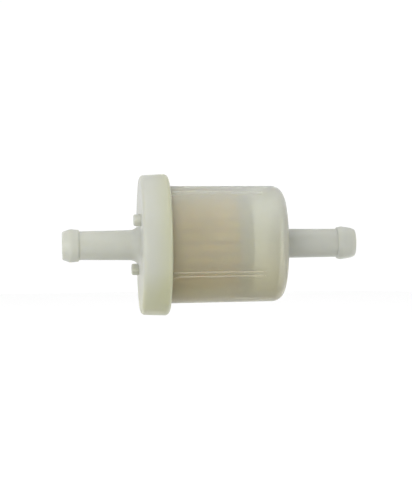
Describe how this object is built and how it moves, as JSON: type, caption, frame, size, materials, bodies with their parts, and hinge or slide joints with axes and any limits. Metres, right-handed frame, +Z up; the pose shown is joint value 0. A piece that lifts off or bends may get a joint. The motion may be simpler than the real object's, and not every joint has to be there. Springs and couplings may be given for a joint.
{
  "type": "inline fuel filter",
  "caption": "Inline fuel filter: a flanged round cap welded to a milky bowl, a pleated paper element inside, and a barbed hose spigot at each end.",
  "frame": {"origin": "the filter's axis, midway between the two spigot tips", "axes": "+X along the axis from the cap's spigot to the bowl's spigot, +Z up, -Y towards the side where a lug lies 47.5 degrees above the horizontal"},
  "size_m": [0.07, 0.0338, 0.0338],
  "materials": {
    "shell_nylon": "satin",
    "weld_nylon": "satin",
    "inner_nylon": "satin",
    "filter_paper": "matte",
    "adhesive": "satin"
  },
  "bodies": {
    "root": {"outlet_cap": "shell_nylon", "inlet_bowl": "shell_nylon", "weld_bead": "weld_nylon", "pleated_paper": "filter_paper", "seam_clip": "inner_nylon", "centre_tube": "inner_nylon", "closed_end_cap": "inner_nylon", "open_end_ring": "inner_nylon", "closed_end_adhesive": "adhesive", "open_end_adhesive": "adhesive"}
  },
  "joints": []
}
